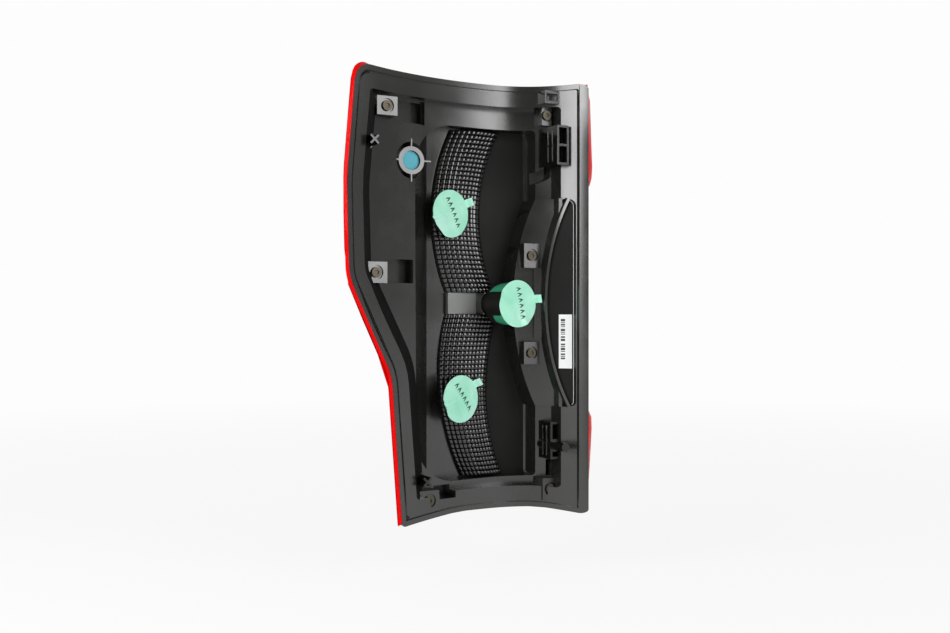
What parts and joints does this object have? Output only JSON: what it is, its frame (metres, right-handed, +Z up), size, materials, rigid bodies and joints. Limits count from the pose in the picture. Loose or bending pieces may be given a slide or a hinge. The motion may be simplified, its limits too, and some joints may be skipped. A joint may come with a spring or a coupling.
{
  "type": "tail light cluster",
  "caption": "Wrap-around rear lamp cluster with a red and clear lens, black moulded housing, three capped bulb sockets, locating studs and fixing brackets.",
  "frame": {"origin": "where the lower bracket's peg leaves the face of its bracket, on the peg's axis", "axes": "+Y from the vehicle out to the lens, +Z up, X across the lamp as it is seen from the vehicle, the rear edge at +X"},
  "size_m": [0.2776, 0.1056, 0.4365],
  "materials": {
    "housing_black": "moulded, satin",
    "lens_red": "clear red, polished",
    "lens_clear": "clear, polished",
    "seal": "matt",
    "reflector_black": "faceted, glossy",
    "reflector_grey": "satin grey",
    "socket_black": "moulded",
    "film_mint": "thin film, satin",
    "patch_blue": "fine membrane",
    "screw_steel": "dull zinc",
    "bracket_black": "moulded, glossy",
    "stud_black": "moulded",
    "label_white": "printed paper, satin"
  },
  "bodies": {
    "root": {"housing": "housing_black", "red_lens": "lens_red", "clear_lens": "lens_clear", "lens_seal": "seal", "upper_reflector": "reflector_black", "lower_reflector": "reflector_black", "centre_reflector": "reflector_grey", "upper_socket": "socket_black", "centre_socket": "socket_black", "lower_socket": "socket_black", "upper_film": "film_mint", "centre_film": "film_mint", "lower_film": "film_mint", "breather_patch": "patch_blue", "case_screws": "screw_steel", "upper_bracket": "bracket_black", "lower_bracket": "bracket_black", "upper_stud": "stud_black", "lower_stud": "stud_black", "corner_clip": "bracket_black", "label": "label_white"}
  },
  "joints": []
}
